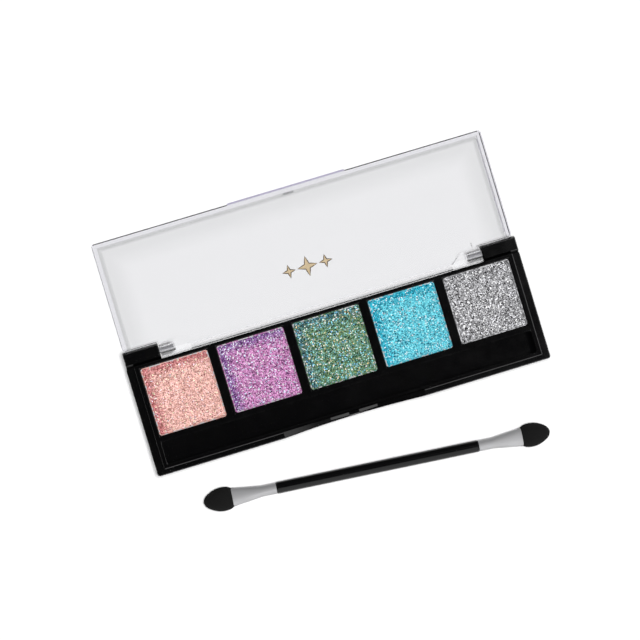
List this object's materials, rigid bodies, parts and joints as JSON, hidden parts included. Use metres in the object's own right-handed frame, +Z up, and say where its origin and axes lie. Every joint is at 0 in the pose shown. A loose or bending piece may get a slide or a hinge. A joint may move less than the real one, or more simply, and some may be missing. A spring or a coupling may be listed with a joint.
{
  "type": "eyeshadow palette",
  "caption": "Slim hinged makeup compact with a row of square pans of pressed glitter powder, a clear flip cover, an applicator trough and a loose double-ended sponge applicator.",
  "frame": {"origin": "centre of the case's flat underside, on the surface it stands on", "axes": "+X along the row of pans, +Y towards the hinge, +Z up out of the pans"},
  "size_m": [0.12, 0.0943, 0.0076],
  "materials": {
    "case_black": "glossy moulded black",
    "tray_black": "glossy moulded black",
    "pan_metal": "bright stamped sheet",
    "powder_rose": "pressed glitter powder",
    "powder_lilac": "pressed glitter powder",
    "powder_green": "pressed glitter powder",
    "powder_turquoise": "pressed glitter powder",
    "powder_silver": "pressed glitter powder",
    "glue": "set hot-melt dot",
    "clear_cover": "clear moulded",
    "pin_steel": "plain drawn wire",
    "handle_black": "glossy black",
    "ferrule_metal": "satin anodised",
    "tip_core": "natural moulded",
    "sponge_black": "fine closed-cell foam"
  },
  "bodies": {
    "base": {"base_shell": "case_black", "inner_tray": "tray_black", "pan_rose": "pan_metal", "pan_lilac": "pan_metal", "pan_green": "pan_metal", "pan_turquoise": "pan_metal", "pan_silver": "pan_metal", "shade_rose": "powder_rose", "shade_lilac": "powder_lilac", "shade_green": "powder_green", "shade_turquoise": "powder_turquoise", "shade_silver": "powder_silver", "pan_glue": "glue", "hinge_pin_left": "pin_steel", "hinge_pin_right": "pin_steel"},
    "lid": {"lid_cover": "clear_cover"},
    "applicator": {"applicator_handle": "handle_black", "ferrule_left": "ferrule_metal", "ferrule_right": "ferrule_metal", "tip_core_left": "tip_core", "tip_core_right": "tip_core", "sponge_tip_left": "sponge_black", "sponge_tip_right": "sponge_black"}
  },
  "joints": [
    {"name": "lid_hinge", "type": "hinge", "parent": "base", "child": "lid", "pos_m": [0, 0.01632, 0.0055], "axis": [1, 0, 0], "range_deg": [0, 180]},
    {"name": "applicator_lift", "type": "slide", "parent": "base", "child": "applicator", "axis": [0, 0, 1], "range_m": [0, 0.05]}
  ]
}
